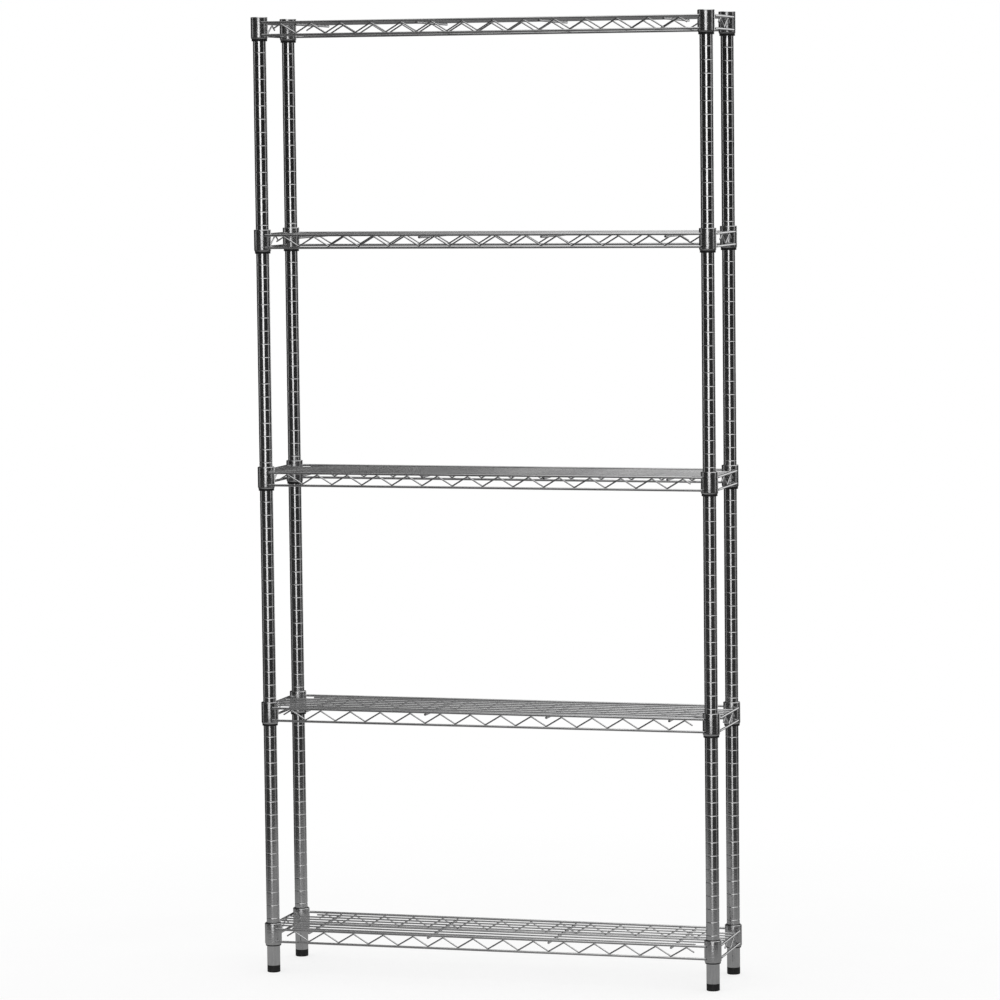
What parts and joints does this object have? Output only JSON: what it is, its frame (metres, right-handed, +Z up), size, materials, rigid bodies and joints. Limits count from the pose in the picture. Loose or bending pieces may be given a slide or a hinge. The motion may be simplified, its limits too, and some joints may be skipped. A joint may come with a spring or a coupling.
{
  "type": "wire shelving rack",
  "caption": "Free-standing rack of chromed wire shelves on round notched posts, with tapered collars on split sleeves and levelling feet.",
  "frame": {"origin": "on the floor under the centre of the rack", "axes": "+Z up along the posts, +X to the right along the shelves, -Y the front"},
  "size_m": [0.9128, 0.2032, 1.8506],
  "materials": {
    "chrome_post": "bright chrome plate",
    "chrome_collar": "chrome plate over a cast skin",
    "chrome_wire": "chrome plated drawn wire",
    "black_plastic": "satin moulded plastic",
    "zinc_steel": "zinc plated"
  },
  "bodies": {
    "frame": {"post_front_left": "chrome_post", "post_front_right": "chrome_post", "post_back_left": "chrome_post", "post_back_right": "chrome_post", "post_caps": "black_plastic", "thread_inserts": "zinc_steel", "bottom_left_split_sleeves": "black_plastic", "bottom_right_split_sleeves": "black_plastic", "lower_left_split_sleeves": "black_plastic", "lower_right_split_sleeves": "black_plastic", "middle_left_split_sleeves": "black_plastic", "middle_right_split_sleeves": "black_plastic", "upper_left_split_sleeves": "black_plastic", "upper_right_split_sleeves": "black_plastic", "top_left_split_sleeves": "black_plastic", "top_right_split_sleeves": "black_plastic"},
    "foot_front_left": {"foot_stud_front_left": "zinc_steel", "foot_pad_front_left": "black_plastic"},
    "foot_front_right": {"foot_stud_front_right": "zinc_steel", "foot_pad_front_right": "black_plastic"},
    "foot_back_left": {"foot_stud_back_left": "zinc_steel", "foot_pad_back_left": "black_plastic"},
    "foot_back_right": {"foot_stud_back_right": "zinc_steel", "foot_pad_back_right": "black_plastic"},
    "bottom_shelf": {"bottom_shelf_left_collars": "chrome_collar", "bottom_shelf_right_collars": "chrome_collar", "bottom_shelf_front_truss": "chrome_wire", "bottom_shelf_back_truss": "chrome_wire", "bottom_shelf_end_trusses": "chrome_wire", "bottom_shelf_deck_wires": "chrome_wire", "bottom_shelf_cross_bars": "chrome_wire"},
    "lower_shelf": {"lower_shelf_left_collars": "chrome_collar", "lower_shelf_right_collars": "chrome_collar", "lower_shelf_front_truss": "chrome_wire", "lower_shelf_back_truss": "chrome_wire", "lower_shelf_end_trusses": "chrome_wire", "lower_shelf_deck_wires": "chrome_wire", "lower_shelf_cross_bars": "chrome_wire"},
    "middle_shelf": {"middle_shelf_left_collars": "chrome_collar", "middle_shelf_right_collars": "chrome_collar", "middle_shelf_front_truss": "chrome_wire", "middle_shelf_back_truss": "chrome_wire", "middle_shelf_end_trusses": "chrome_wire", "middle_shelf_deck_wires": "chrome_wire", "middle_shelf_cross_bars": "chrome_wire"},
    "upper_shelf": {"upper_shelf_left_collars": "chrome_collar", "upper_shelf_right_collars": "chrome_collar", "upper_shelf_front_truss": "chrome_wire", "upper_shelf_back_truss": "chrome_wire", "upper_shelf_end_trusses": "chrome_wire", "upper_shelf_deck_wires": "chrome_wire", "upper_shelf_cross_bars": "chrome_wire"},
    "top_shelf": {"top_shelf_left_collars": "chrome_collar", "top_shelf_right_collars": "chrome_collar", "top_shelf_front_truss": "chrome_wire", "top_shelf_back_truss": "chrome_wire", "top_shelf_end_trusses": "chrome_wire", "top_shelf_deck_wires": "chrome_wire", "top_shelf_cross_bars": "chrome_wire"}
  },
  "joints": [
    {"name": "bottom_shelf_height", "type": "slide", "parent": "frame", "child": "bottom_shelf", "axis": [0, 0, 1], "range_m": [0, 0.386]},
    {"name": "lower_shelf_height", "type": "slide", "parent": "frame", "child": "lower_shelf", "axis": [0, 0, 1], "range_m": [0, 0.41]},
    {"name": "middle_shelf_height", "type": "slide", "parent": "frame", "child": "middle_shelf", "axis": [0, 0, 1], "range_m": [0, 0.41]},
    {"name": "upper_shelf_height", "type": "slide", "parent": "frame", "child": "upper_shelf", "axis": [0, 0, 1], "range_m": [0, 0.359]},
    {"name": "top_shelf_height", "type": "slide", "parent": "frame", "child": "top_shelf", "axis": [0, 0, 1], "range_m": [0, 0.15]},
    {"name": "foot_level_front_left", "type": "slide", "parent": "frame", "child": "foot_front_left", "axis": [0, 0, 1], "range_m": [-0.012, 0]},
    {"name": "foot_level_front_right", "type": "slide", "parent": "frame", "child": "foot_front_right", "axis": [0, 0, 1], "range_m": [-0.012, 0]},
    {"name": "foot_level_back_left", "type": "slide", "parent": "frame", "child": "foot_back_left", "axis": [0, 0, 1], "range_m": [-0.012, 0]},
    {"name": "foot_level_back_right", "type": "slide", "parent": "frame", "child": "foot_back_right", "axis": [0, 0, 1], "range_m": [-0.012, 0]}
  ]
}
